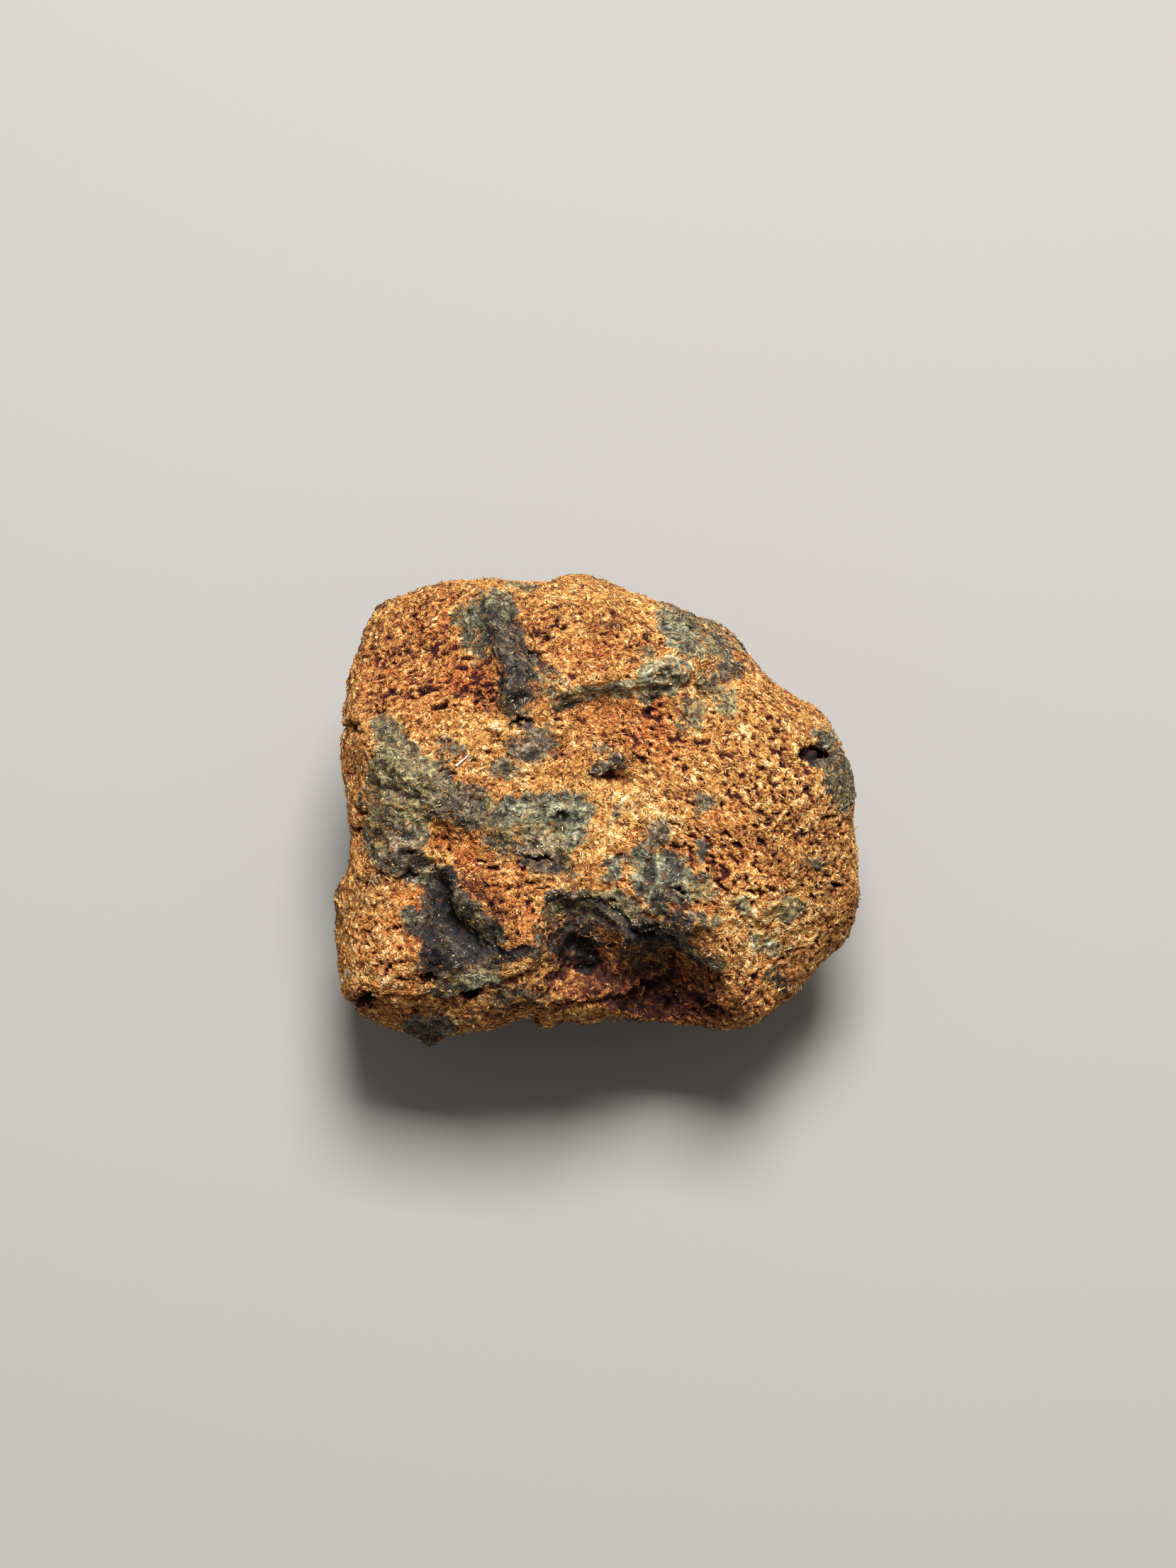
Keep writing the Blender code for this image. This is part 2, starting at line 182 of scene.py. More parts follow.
CHARCOAL, PURPLE, OLIVE, TEAL = 0.0, 0.33, 0.66, 1.0
Plate = namedtuple("Plate", "name u v along across turn strength tint")
PLATES = [
    Plate("top patch", -3.05, 5.60, 0.80, 0.60, 20, 0.92, TEAL),
    Plate("top patch, left arm", -3.35, 4.90, 0.50, 0.62, 0, 0.80, OLIVE),
    Plate("rib", -2.35, 4.60, 1.15, 0.50, -60, 1.00, PURPLE),
    Plate("rib foot", -2.30, 3.35, 0.70, 0.52, 80, 1.00, CHARCOAL),
    Plate("rib, right shade", -1.60, 3.75, 0.75, 0.45, -60, 0.70, OLIVE),
    Plate("olive fleck", -3.97, 5.47, 0.34, 0.28, 0, 0.78, OLIVE),
    Plate("top edge fleck", -2.10, 6.25, 0.55, 0.26, -8, 0.72, OLIVE),
    Plate("long ledge, dark end", -0.85, 3.08, 0.55, 0.20, 26, 0.95, CHARCOAL),
    Plate("long ledge", 0.20, 3.42, 1.25, 0.24, 8, 0.82, TEAL),
    Plate("long ledge, upper arm", -0.95, 3.62, 0.40, 0.22, -10, 0.60, TEAL),
    Plate("ledge patch", 1.80, 3.80, 0.82, 0.55, 10, 0.90, TEAL),
    Plate("ledge patch, tip", 1.40, 4.45, 0.42, 0.30, -20, 0.66, TEAL),
    Plate("ledge patch, dark foot", 1.55, 3.25, 0.30, 0.20, 0, 0.95, CHARCOAL),
    Plate("shoulder", 2.45, 5.05, 1.05, 0.62, -42, 0.80, TEAL),
    Plate("shoulder, upper rim", 2.35, 5.50, 0.70, 0.24, -36, 0.85, CHARCOAL),
    Plate("shoulder, right", 3.30, 4.75, 0.75, 0.42, -40, 0.78, PURPLE),
    Plate("shoulder, rim", 4.25, 4.40, 0.60, 0.18, -45, 0.80, CHARCOAL),
    Plate("right fleck, upper", 3.75, 3.95, 0.50, 0.30, -10, 0.85, CHARCOAL),
    Plate("right fleck, middle", 3.45, 3.30, 0.85, 0.42, -48, 0.66, OLIVE),
    Plate("right fleck, lower", 2.70, 2.75, 0.80, 0.42, 60, 0.68, OLIVE),
    Plate("faint fleck, top", 0.35, 5.45, 0.50, 0.42, 0, 0.45, TEAL),
    Plate("faint fleck, top right", 1.15, 4.95, 0.55, 0.40, -30, 0.42, PURPLE),
    Plate("purple patch", -1.90, 1.85, 0.85, 0.55, 4, 0.78, PURPLE),
    Plate("purple crack", -2.20, 2.52, 0.42, 0.20, 10, 0.72, PURPLE),
    Plate("purple fleck", -4.05, 1.75, 0.62, 0.36, -8, 0.66, PURPLE),
    Plate("purple fleck, lower", -2.60, 1.20, 0.62, 0.34, -8, 0.64, PURPLE),
    Plate("grey fleck", -0.95, 2.35, 0.42, 0.22, 0, 0.46, TEAL),
    Plate("wedge", 0.30, 1.25, 0.50, 0.26, 14, 0.85, CHARCOAL),
    Plate("wedge, shade", 0.10, 1.65, 0.40, 0.30, 0, 0.46, TEAL),
    Plate("left band, top", -5.90, 1.85, 0.60, 0.90, 10, 0.80, OLIVE),
    Plate("left band, upper", -5.50, 1.05, 1.05, 0.80, -30, 0.95, OLIVE),
    Plate("left band, middle", -4.75, 0.62, 1.10, 0.75, -35, 1.00, OLIVE),
    Plate("left band, lower", -4.25, 0.10, 0.85, 0.60, -20, 0.95, CHARCOAL),
    Plate("left band, end", -3.50, 0.02, 0.62, 0.52, 0, 0.95, PURPLE),
    Plate("left band, side", -6.15, 0.30, 0.60, 0.95, 0, 0.80, OLIVE),
    Plate("left band, foot", -5.15, -0.15, 0.95, 0.55, -10, 0.80, OLIVE),
    Plate("green spur", -3.95, -0.40, 0.42, 0.58, 20, 0.95, OLIVE),
    Plate("grey knob", -5.50, -0.60, 0.90, 0.62, 0, 0.90, PURPLE),
    Plate("green edge", -6.25, -0.95, 0.45, 0.55, 30, 0.85, OLIVE),
    Plate("charcoal knob", -5.40, -1.50, 0.72, 0.52, -10, 1.00, CHARCOAL),
    Plate("knob to triangle", -4.80, -1.95, 0.75, 0.36, -20, 0.85, OLIVE),
    Plate("knob, lower left", -6.10, -2.00, 0.50, 0.26, -20, 0.48, OLIVE),
    Plate("middle patch, left", -2.50, -0.10, 0.70, 0.58, 0, 0.88, TEAL),
    Plate("middle patch", -1.50, -0.10, 0.95, 0.72, 0, 0.92, TEAL),
    Plate("middle patch, right", -0.72, -0.05, 0.62, 0.62, 0, 0.95, TEAL),
    Plate("middle patch, lower", -1.60, -0.80, 1.05, 0.60, 10, 0.90, PURPLE),
    Plate("middle patch, green tip", -0.80, -0.75, 0.52, 0.50, 0, 0.92, TEAL),
    Plate("middle patch, left foot", -2.75, -0.85, 0.60, 0.42, 0, 0.78, OLIVE),
    Plate("middle patch, purple tip", -1.50, -1.45, 0.72, 0.46, -10, 0.85, PURPLE),
    Plate("middle patch, tail", -0.85, -1.75, 0.50, 0.28, -40, 0.68, OLIVE),
    Plate("faint purple", 0.74, 0.00, 0.46, 0.30, 30, 0.62, PURPLE),
    Plate("faint grey", 2.95, 0.15, 0.52, 0.34, 30, 0.58, TEAL),
    Plate("small ridge", 1.65, -0.62, 0.62, 0.38, 50, 0.80, PURPLE),
    Plate("blue fleck", 1.15, -1.22, 0.26, 0.32, -20, 0.90, TEAL),
    Plate("blue fleck, left", 0.48, -1.62, 0.26, 0.48, -30, 0.82, TEAL),
    Plate("blue fleck, right", 2.95, -1.15, 0.18, 0.36, 0, 0.80, TEAL),
    Plate("main grey patch", 1.85, -1.95, 0.95, 0.75, -25, 1.00, TEAL),
    Plate("main grey patch, tail", 1.70, -2.65, 0.50, 0.34, -50, 0.85, TEAL),
    Plate("main grey patch, right", 2.95, -2.20, 0.46, 0.46, 0, 0.72, OLIVE),
    Plate("flap", 2.35, -3.10, 0.55, 0.30, 10, 1.00, CHARCOAL),
    Plate("flap, right", 3.05, -3.05, 0.38, 0.26, -30, 0.72, OLIVE),
    Plate("arch, left", -1.05, -2.38, 0.52, 0.24, 12, 1.00, CHARCOAL),
    Plate("arch, crown", -0.45, -2.62, 1.00, 0.50, -5, 0.95, OLIVE),
    Plate("arch, middle", 0.45, -2.85, 0.90, 0.58, -25, 0.95, OLIVE),
    Plate("arch, right", 1.30, -3.45, 0.95, 0.45, -22, 1.00, CHARCOAL),
    Plate("arch, far right", 2.35, -3.90, 0.85, 0.30, -42, 0.90, OLIVE),
    Plate("arch, green end", 3.25, -4.35, 0.42, 0.28, -30, 0.80, OLIVE),
    Plate("hollow", -0.60, -3.75, 0.95, 0.75, 10, 0.70, CHARCOAL),
    Plate("hollow, dark pocket", -0.35, -4.15, 0.42, 0.40, 0, 1.00, CHARCOAL),
    Plate("hollow, left wall", -1.45, -3.10, 0.40, 0.85, -10, 0.76, OLIVE),
    Plate("hollow, right wall", 1.40, -4.25, 0.95, 0.42, -25, 0.66, CHARCOAL),
    Plate("triangle, apex", -4.20, -1.95, 0.36, 0.52, 30, 0.85, CHARCOAL),
    Plate("triangle, upper", -4.40, -2.60, 0.66, 0.62, 0, 0.96, CHARCOAL),
    Plate("triangle, olive side", -3.50, -2.90, 0.95, 0.36, -53, 1.00, OLIVE),
    Plate("triangle, middle", -3.75, -3.20, 0.95, 0.75, -35, 1.00, CHARCOAL),
    Plate("triangle, green edge", -2.95, -3.35, 0.42, 0.46, 0, 0.95, TEAL),
    Plate("triangle, glinting rib", -4.20, -3.70, 0.95, 0.30, -50, 1.00, PURPLE),
    Plate("triangle, lower", -3.50, -4.15, 1.00, 0.46, -5, 1.00, CHARCOAL),
    Plate("triangle, tail", -2.20, -4.02, 0.70, 0.26, 5, 1.00, CHARCOAL),
    Plate("triangle, grey foot", -3.35, -4.75, 0.90, 0.36, 5, 0.90, TEAL),
    Plate("triangle, left foot", -4.70, -4.55, 0.42, 0.34, 40, 0.80, CHARCOAL),
    Plate("triangle, olive foot", -4.30, -5.10, 0.60, 0.28, 10, 0.62, OLIVE),
    Plate("triangle, left arm", -5.15, -3.10, 0.42, 0.50, 20, 0.85, OLIVE),
    Plate("left edge bulge", -7.05, -2.40, 0.28, 0.46, 0, 0.75, CHARCOAL),
    Plate("lower left fleck", -6.20, -2.55, 0.50, 0.34, 0, 0.48, OLIVE),
    Plate("lower left fleck, small", -6.90, -4.70, 0.30, 0.30, 0, 0.50, OLIVE),
    Plate("flake", -4.70, -6.15, 0.70, 0.42, 0, 1.00, CHARCOAL),
    Plate("lower rim", -2.00, -5.20, 1.70, 0.50, 8, 0.56, OLIVE),
    Plate("lower rim, shade", -4.30, -5.85, 1.10, 0.34, 4, 0.52, OLIVE),
    Plate("green spot", 5.30, -2.72, 0.50, 0.42, 0, 0.75, OLIVE),
    Plate("green spot, lower", 4.75, -3.75, 0.72, 0.36, -30, 0.66, TEAL),
    Plate("green spot, left", 4.05, -2.62, 0.38, 0.34, 0, 0.62, OLIVE),
    Plate("green spot, right", 6.35, -2.35, 0.46, 0.42, 0, 0.50, OLIVE),
    Plate("green spot, upper", 6.15, -1.45, 0.40, 0.28, 0, 0.46, TEAL),
    Plate("lower right dusk", 5.10, -4.80, 0.70, 0.30, -35, 0.60, CHARCOAL),
    Plate("right slit rim", 6.45, 2.05, 0.50, 0.26, -30, 0.85, TEAL),
    Plate("right slit, foot", 6.40, 1.42, 0.40, 0.18, -8, 1.00, CHARCOAL),
    Plate("right edge", 6.85, 0.95, 0.50, 1.05, 8, 0.85, OLIVE),
    Plate("right edge, inner", 6.20, 0.10, 0.62, 0.42, 0, 0.46, OLIVE),
    Plate("triangle, left side", -4.62, -3.55, 0.42, 1.05, 0, 1.00, CHARCOAL),
    Plate("triangle, lower left", -4.35, -4.35, 0.75, 0.50, 0, 1.00, CHARCOAL),
    Plate("bare orange pocket", -4.05, -0.95, 0.72, 0.44, -55, -0.85, OLIVE),
    Plate("bare lip of the hollow", -0.55, -4.90, 0.80, 0.32, 5, -0.70, OLIVE),
    Plate("bare plateau", -2.60, -2.35, 1.10, 0.50, -42, -0.70, OLIVE),
    Plate("bare left strip", -7.05, 0.20, 0.30, 2.20, 0, -0.60, OLIVE),
]


def plate_fields():
    """How much crust there is at each point, from 0 to 1, and its tint."""
    amount = np.zeros(len(points))
    tint = np.zeros(len(points))
    weight = np.full(len(points), 1e-6)
    for row in PLATES:
        level = inside_ellipse(row, ragged_u, ragged_v)
        spread = smooth_step(-0.65, 0.50, level) * row.strength
        amount = np.maximum(amount, spread) if row.strength > 0 else amount + spread
        near = np.exp(4 * np.clip(level, -3, 1)) * max(row.strength, 0)
        tint += near * row.tint
        weight += near
    drift = crumbs(points, 2.4, 21, 4)
    hidden = 0.95 * smooth_step(-0.25, 0.50, drift)
    hidden_tint = 0.5 + 0.7 * bumps(points, 2.6, 25)
    amount = on_face * amount + (1 - on_face) * hidden
    broken = 0.24 * crumbs(points, 0.75, 23, 4) + 0.14 * bumps(points, 0.15, 27)
    crust = smooth_step(0.22, 0.86, amount + broken)
    tint = on_face * tint / weight + (1 - on_face) * np.clip(hidden_tint, 0, 1)
    return crust, tint


crust, tint = plate_fields()
print("crust covers", round(100 * float(np.mean(crust > 0.5))), "percent of the skin")

# %% [markdown]
# The rust is not one colour either. Some areas are redder and deeply pitted, some are a pale yellow
# crumb, and there are spots of fresh orange. Each area is one row: how red, how light and how pitted.
# How light is partly the rust's own tone and partly painted light and shade.

# %% Areas of rust
Area = namedtuple("Area", "name u v along across turn red light pitted")
AREAS = [
    Area("upper left field", -4.70, 4.20, 2.10, 1.60, 20, 0.45, -0.14, 1.00),
    Area("upper left shadow", -3.45, 3.40, 1.00, 0.45, -50, 0.40, -0.40, 0.90),
    Area("upper left rim", -6.20, 5.30, 1.20, 0.60, 45, -0.10, -0.10, 0.30),
    Area("upper field", -0.40, 4.90, 1.70, 1.00, -8, 0.10, -0.16, 0.90),
    Area("upper field, red spot", -0.45, 4.55, 0.60, 0.35, 0, 0.45, 0.00, 0.80),
    Area("top rim", -0.30, 6.20, 2.00, 0.45, 0, -0.20, 0.02, 0.20),
    Area("top right rim", 1.60, 5.70, 0.90, 0.35, -28, -0.20, 0.20, 0.05),
    Area("red zone", 1.20, 2.45, 1.50, 0.75, -6, 0.50, -0.12, 1.00),
    Area("red zone, lower", 1.90, 1.70, 1.10, 0.60, -35, 0.30, 0.00, 0.95),
    Area("left crumb", -3.60, 2.40, 2.00, 0.80, 0, 0.05, 0.20, 0.25),
    Area("orange crumb", -3.10, 0.80, 0.90, 0.30, -20, 0.40, 0.15, 0.10),
    Area("cream crumb", 0.75, 0.55, 1.20, 0.70, -25, -0.60, 0.20, 0.15),
    Area("cream crumb, lower", 1.60, -0.05, 1.10, 0.55, -20, -0.35, 0.16, 0.15),
    Area("cream crumb, left", -0.10, -0.90, 0.60, 0.60, 0, -0.30, 0.30, 0.10),
    Area("cream streak", -1.40, 0.95, 2.00, 0.36, -8, -0.25, 0.30, 0.20),
    Area("upper right", 4.60, 2.60, 1.70, 0.80, -38, -0.25, 0.12, 0.60),
    Area("right field", 4.40, 0.90, 2.10, 1.50, -30, -0.10, 0.08, 1.00),
    Area("right field, lower", 3.60, -1.10, 1.50, 0.80, -35, 0.15, 0.00, 1.00),
    Area("right rim", 6.60, -0.60, 0.80, 1.70, 0, -0.05, 0.05, 0.80),
    Area("orange spot, right", 3.55, -0.25, 0.80, 0.55, 0, 0.10, 0.10, 0.50),
    Area("orange pocket", -4.05, -0.90, 0.72, 0.46, -55, 1.00, -0.05, 0.55),
    Area("orange spot, left", -5.25, -2.50, 0.60, 0.34, 10, 0.80, 0.20, 0.20),
    Area("orange spot, middle", 0.95, -2.05, 0.36, 0.42, -30, 0.90, 0.20, 0.10),
    Area("left strip", -7.00, -0.40, 0.50, 2.60, 0, 0.30, 0.15, 0.20),
    Area("centre tan", -2.40, -2.20, 1.60, 0.85, -35, 0.35, 0.02, 0.50),
    Area("centre tan, lower", -2.20, -3.30, 0.50, 0.50, 0, 0.30, 0.15, 0.20),
    Area("centre tan, right", 0.10, -1.60, 0.90, 0.50, -20, 0.25, 0.20, 0.20),
    # These rows also paint light and shade. The corner and the lower right are lightened where the face turns
    # away from the lamp, and the hollow and the cave are darkened where they are hidden from it.
    Area("corner field", -6.20, -4.30, 1.20, 1.60, 0, 0.48, 0.28, 0.70),
    Area("corner, lower", -5.80, -5.60, 1.50, 0.50, 0, 0.30, -0.20, 0.80),
    Area("olive strip", -2.40, -5.05, 1.60, 0.40, 10, -0.40, -0.15, 0.30),
    Area("lip of the hollow", -0.55, -4.88, 0.95, 0.50, 5, 0.10, -0.58, 0.30),
    Area("hollow", 0.10, -3.85, 1.70, 0.90, -10, 0.10, -0.62, 0.60),
    Area("cave", 1.80, -5.30, 1.90, 0.80, -5, 0.55, -1.00, 0.60),
    Area("lower right", 4.90, -3.40, 2.00, 1.20, -38, 0.35, 0.46, 0.65),
    Area("lower right edge", 4.60, -5.00, 1.80, 0.60, 35, 0.25, -0.12, 0.70),
    Area("lower strip", -1.80, -5.70, 3.20, 0.32, 3, 0.00, -0.15, 0.40),
    Area("triangle", -3.90, -3.30, 1.35, 1.40, -40, 0.00, -0.85, 0.40),
    Area("triangle, glinting rib", -4.30, -3.60, 1.10, 0.30, -55, 0.00, 0.45, 0.10),
    Area("triangle, grey foot", -3.70, -4.55, 1.00, 0.30, 8, 0.00, 0.50, 0.10),
    Area("ledge patch", 1.80, 3.80, 0.90, 0.60, 10, 0.00, 0.48, 0.10),
    Area("main grey patch", 1.85, -2.05, 0.95, 0.75, -25, 0.00, -0.06, 0.10),
    Area("long ledge", 0.20, 3.42, 1.40, 0.34, 8, 0.00, 0.40, 0.10),
    Area("rib", -2.35, 4.20, 1.60, 0.50, -62, 0.00, -0.34, 0.20),
    Area("wedge", 0.30, 1.25, 0.55, 0.32, 14, 0.00, -0.35, 0.20),
    Area("shoulder", 2.60, 4.95, 1.20, 0.70, -42, 0.00, 0.02, 0.20),
    Area("left band", -5.10, 0.80, 1.40, 0.90, -35, 0.00, 0.28, 0.30),
    Area("charcoal knob", -5.40, -1.35, 0.80, 0.60, 0, 0.00, 0.42, 0.20),
    Area("middle patch", -1.40, -0.30, 1.20, 0.90, 0, 0.00, 0.36, 0.20),
]


def area_fields():
    """How red, how light and how pitted the rust is at each point."""
    hidden = 1 - on_face
    red = 0.30 * crumbs(points, 1.9, 31) + 0.10 * hidden
    light = 0.20 * crumbs(points, 1.3, 37) - 0.14 * hidden
    pitted = 0.40 + 0.50 * crumbs(points, 2.8, 41)
    for row in AREAS:
        here = smooth_step(-0.40, 0.45, inside_ellipse(row, ragged_u, ragged_v)) * on_face
        red += here * row.red
        # The light column is partly the rust's own tone and partly painted light and shade.
        light += here * row.light
        pitted += here * (row.pitted - pitted)
    return np.clip(red, -1, 1), np.clip(light, -1, 1), np.clip(pitted, 0, 1)


red, light, pitted = area_fields()
print("mean redness", round(float(red.mean()), 2), "and mean pitting", round(float(pitted.mean()), 2))

# %% [markdown]
# Where a plate of crust or rust has broken off, it leaves a step. Each step is a line of a few points,
# and the ground on the right of the line, going along it, lies lower. The drop is sharp at the line
# and fades away from it. Two steps are too deep in the solid, so a negative drop fills them a little.
# The upper edge of a step is painted paler, and its foot is darker: painted shade.

# %% Steps where plates have broken off
Step = namedtuple("Step", "name line drop reach")
STEPS = [
    Step("plateau edge", [(-4.24, -1.59), (-3.66, -2.36), (-3.18, -2.85), (-2.69, -3.28)], -0.40, 0.45),
    Step("plateau foot", [(-2.69, -3.28), (-2.76, -3.88), (-2.00, -3.86)], 0.12, 0.40),
    Step("long ledge", [(-1.14, 2.92), (-0.46, 3.16), (0.92, 3.17), (1.6, 3.05), (2.28, 3.4)], -0.05, 0.45),
    Step("ledge patch, fold", [(1.30, 3.70), (1.95, 4.10), (2.45, 3.70)], 0.10, 0.30),
    Step("arch, left", [(-1.85, -3.25), (-1.56, -2.62), (-1.05, -2.30), (-0.40, -2.52)], 0.24, 0.55),
    Step("arch, middle", [(-0.40, -2.46), (0.24, -2.52), (0.68, -2.88), (1.05, -3.32)], 0.24, 0.55),
    Step("arch, right", [(1.05, -3.32), (1.65, -3.30), (2.02, -3.70), (2.66, -4.22), (3.30, -4.46)], 0.28, 0.60),
    Step("rib crack", [(-1.72, 4.28), (-2.16, 4.91), (-2.45, 5.30)], 0.20, 0.35),
    Step("rib, left flank", [(-3.00, 5.10), (-2.85, 4.40), (-2.60, 3.70), (-2.75, 3.10)], 0.12, 0.40),
    Step("flap, upper edge", [(3.00, -3.00), (2.55, -2.74), (2.05, -3.12)], 0.16, 0.40),
    Step("flap, foot", [(1.95, -3.38), (2.45, -3.48), (3.00, -3.30)], 0.26, 0.50),
    Step("grey patch, foot", [(1.00, -2.35), (1.35, -2.75), (1.80, -3.05)], 0.12, 0.40),
    Step("crack in the purple tip", [(-2.10, -1.32), (-1.60, -1.26), (-1.15, -1.40)], 0.14, 0.25),
    Step("crack in the middle patch", [(-1.40, -0.12), (-0.90, -0.10)], 0.08, 0.22),
    Step("knob, upper groove", [(-5.85, -1.40), (-5.50, -1.08), (-5.00, -1.16)], 0.14, 0.25),
    Step("knob, lower groove", [(-5.70, -1.90), (-5.25, -1.62), (-4.95, -1.75)], 0.12, 0.25),
    Step("lip, upper edge", [(0.30, -4.95), (-0.10, -4.62), (-0.70, -4.52), (-1.20, -4.80)], 0.16, 0.45),
    Step("lip, lower edge", [(-2.2, -5.42), (-1.1, -5.52), (0, -5.34), (0.7, -5.14), (1.9, -4.6)], 0.34, 0.70),
    Step("cave, right edge", [(2.40, -4.90), (3.05, -5.36), (3.50, -5.66)], 0.26, 0.60),
    Step("slit near the right edge", [(5.86, 1.66), (6.20, 1.80), (6.62, 1.86)], 0.26, 0.28),
    Step("wedge, foot", [(-0.10, 1.02), (0.30, 1.10), (0.78, 1.06)], 0.10, 0.30),
    Step("left side crack", [(-7.30, 2.42), (-6.90, 2.50), (-6.70, 2.35)], 0.22, 0.30),
    Step("olive strip, edge", [(-4.30, -5.30), (-3.60, -5.00), (-2.80, -4.88), (-2.00, -4.55)], 0.14, 0.40),
    Step("corner edge", [(-7.30, -5.55), (-6.60, -5.50), (-5.80, -5.20)], 0.22, 0.35),
]
STEP_WIDTH = 0.07
STEP_END = 0.16
RIM = 0.11


def along_line(row, u, v):
    """Distance to the nearest part of the line, and how far to its left."""
    nearest = np.full(len(u), np.inf)
    side = np.zeros(len(u))
    for (u0, v0), (u1, v1) in zip(row.line, row.line[1:]):
        du, dv = u1 - u0, v1 - v0
        length = math.hypot(du, dv)
        part = np.clip(((u - u0) * du + (v - v0) * dv) / length**2, 0, 1)
        away = np.hypot(u - u0 - part * du, v - v0 - part * dv)
        closer = away < nearest
        nearest = np.where(closer, away, nearest)
        side = np.where(closer, (du * (v - v0) - dv * (u - u0)) / length, side)
    return nearest, side


def step_fields():
    """The drop at each point, how much it is the upper rim of a step, painted paler, and how much its foot,
    painted shade.
    """
    drop, rim, foot = (np.zeros(len(points)) for k in range(3))
    for row in STEPS:
        nearest, side = along_line(row, ragged_u, ragged_v)
        past_end = np.clip(nearest - np.abs(side), 0, None)
        here = np.exp(-((past_end / STEP_END) ** 2)) * on_face
        below = smooth_step(-STEP_WIDTH, STEP_WIDTH, -side)
        lowered = row.drop * below * np.exp(-nearest / row.reach) * here
        drop = np.where(lowered < 0, drop + lowered, np.maximum(drop, lowered))
        rim = np.maximum(rim, (1 - below) * np.exp(-((nearest / RIM) ** 2)) * here)
        foot = np.maximum(foot, below * np.exp(-((nearest / (2 * RIM)) ** 2)) * here)
    return drop, rim, foot


drop, rim, foot = step_fields()
print("highest step, mm:", round(float(drop.max()), 2))

# %% [markdown]
# A few cracks, slits and holes are placed one by one in the same way as the plates. One is filled up
# instead, where the solid's own ledge is too deep.

# %% Cracks, slits and holes
Hole = namedtuple("Hole", "name u v along across turn depth")
HOLES = [
    Hole("slit near the right edge", 6.16, 1.64, 0.46, 0.19, -6, 0.50),
    Hole("three-cornered pit", 2.35, -2.15, 0.16, 0.14, 40, 0.45),
    Hole("pit at the right edge", 6.76, -2.12, 0.20, 0.11, -40, 0.30),
    Hole("notch in the corner", -6.85, -5.50, 0.70, 0.24, 18, 0.55),
    Hole("pit by the lower rim", -3.60, -5.20, 0.34, 0.20, 8, 0.45),
    Hole("crack beside the rib", -1.98, 4.62, 0.62, 0.09, -56, 0.26),
    Hole("crack below the rib", -2.20, 2.58, 0.34, 0.09, 18, 0.26),
    Hole("crack in the middle patch", -1.10, -0.12, 0.28, 0.08, 5, 0.14),
    Hole("crack in the purple patch", -1.62, -1.36, 0.46, 0.08, -5, 0.20),
    Hole("shade under the wedge", 0.40, 1.02, 0.42, 0.08, 0, 0.12),
    Hole("hole under the long ledge", 1.62, 3.12, 0.24, 0.10, 0, 0.16),
    Hole("hole in the upper left field", -4.95, 3.35, 0.22, 0.15, 15, 0.28),
    Hole("hole in the left field", -4.45, 2.95, 0.30, 0.16, 30, 0.28),
    Hole("left slit", -7.05, 2.42, 0.36, 0.12, 8, 0.35),
    Hole("side pit, upper", -6.72, -0.08, 0.13, 0.17, 0, 0.30),
    Hole("side pit, lower", -6.76, -0.52, 0.11, 0.16, 0, 0.28),
    Hole("knob groove", -5.35, -1.16, 0.46, 0.10, 8, 0.20),
    Hole("knob groove, lower", -5.25, -1.78, 0.42, 0.09, 14, 0.18),
    Hole("crack over the hollow", 1.55, -3.62, 0.90, 0.11, -15, 0.26),
    Hole("dark pocket in the hollow", -0.40, -3.85, 0.55, 0.22, -15, 0.12),
    Hole("pocket left of the triangle foot", -4.85, -4.75, 0.30, 0.15, 20, 0.34),
    Hole("hole in the red zone", 1.55, 2.85, 0.24, 0.09, 0, 0.14),
    Hole("hole in the red zone, left", -0.45, 2.60, 0.24, 0.10, 0, 0.16),
    Hole("filled foot of the plateau", -3.44, -2.98, 1.25, 0.38, -55, -0.32),
]


def hole_depth():
    total = np.zeros(len(points))
    for row in HOLES:
        shape = smooth_step(-0.10, 0.60, inside_ellipse(row, ragged_u, ragged_v))
        deep = row.depth * shape * on_face
        total = np.maximum(total, deep) if row.depth > 0 else total + deep
    return total


holes = hole_depth()
print("deepest hole, mm:", round(float(holes.max()), 2))

# %% [markdown]
# Now the relief. The rust is a fine crumb with small pits in it, and the pits crowd together where the
# area is marked as pitted. They follow a slanted grain on the right of the face and a level one on its
# left. The crust stands proud of the rust by a little. Nothing reaches below the floor, at height 0: the
# spot that the stone rests on is worn flat, and bare of loose slivers.

# %% Crumb and pits of the rust
PIT_SIZE = 0.150
PIT_DEPTH = 0.13
CRUMB_HEIGHT = 0.018
CRUST_THICKNESS = 0.03
CRUST_WRINKLES = 0.060


def slanted(points, turn_deg):
    """The points turned within the face, so that a stretch along X follows the grain."""
    return points @ np.array(Matrix.Rotation(math.radians(turn_deg), 3, "Z"))


def along_grain(pattern, size, seed):
    """A pattern stretched along the slanted grain on the right and the level grain on the left."""
    on_right = smooth_step(-1.5, 1.5, u)
    stretch = (1.45, 0.75, 1)
    right = pattern(slanted(points, -38), size, seed, stretch)
    left = pattern(slanted(points, 4), size, seed + 1, stretch)
    return on_right * right + (1 - on_right) * left


def pit_field():
    """0 on sound rust, up to 1 at the bottom of a pit."""
    grain = np.maximum(along_grain(bumps, PIT_SIZE, 61), along_grain(bumps, 1.7 * PIT_SIZE, 63) - 0.30)
    grain += 0.30 * bumps(points, 0.09, 65) + 0.34 * crumbs(points, 0.9, 67)
    limit = 0.88 - 0.58 * pitted
    return smooth_step(limit, limit + 0.42, grain)


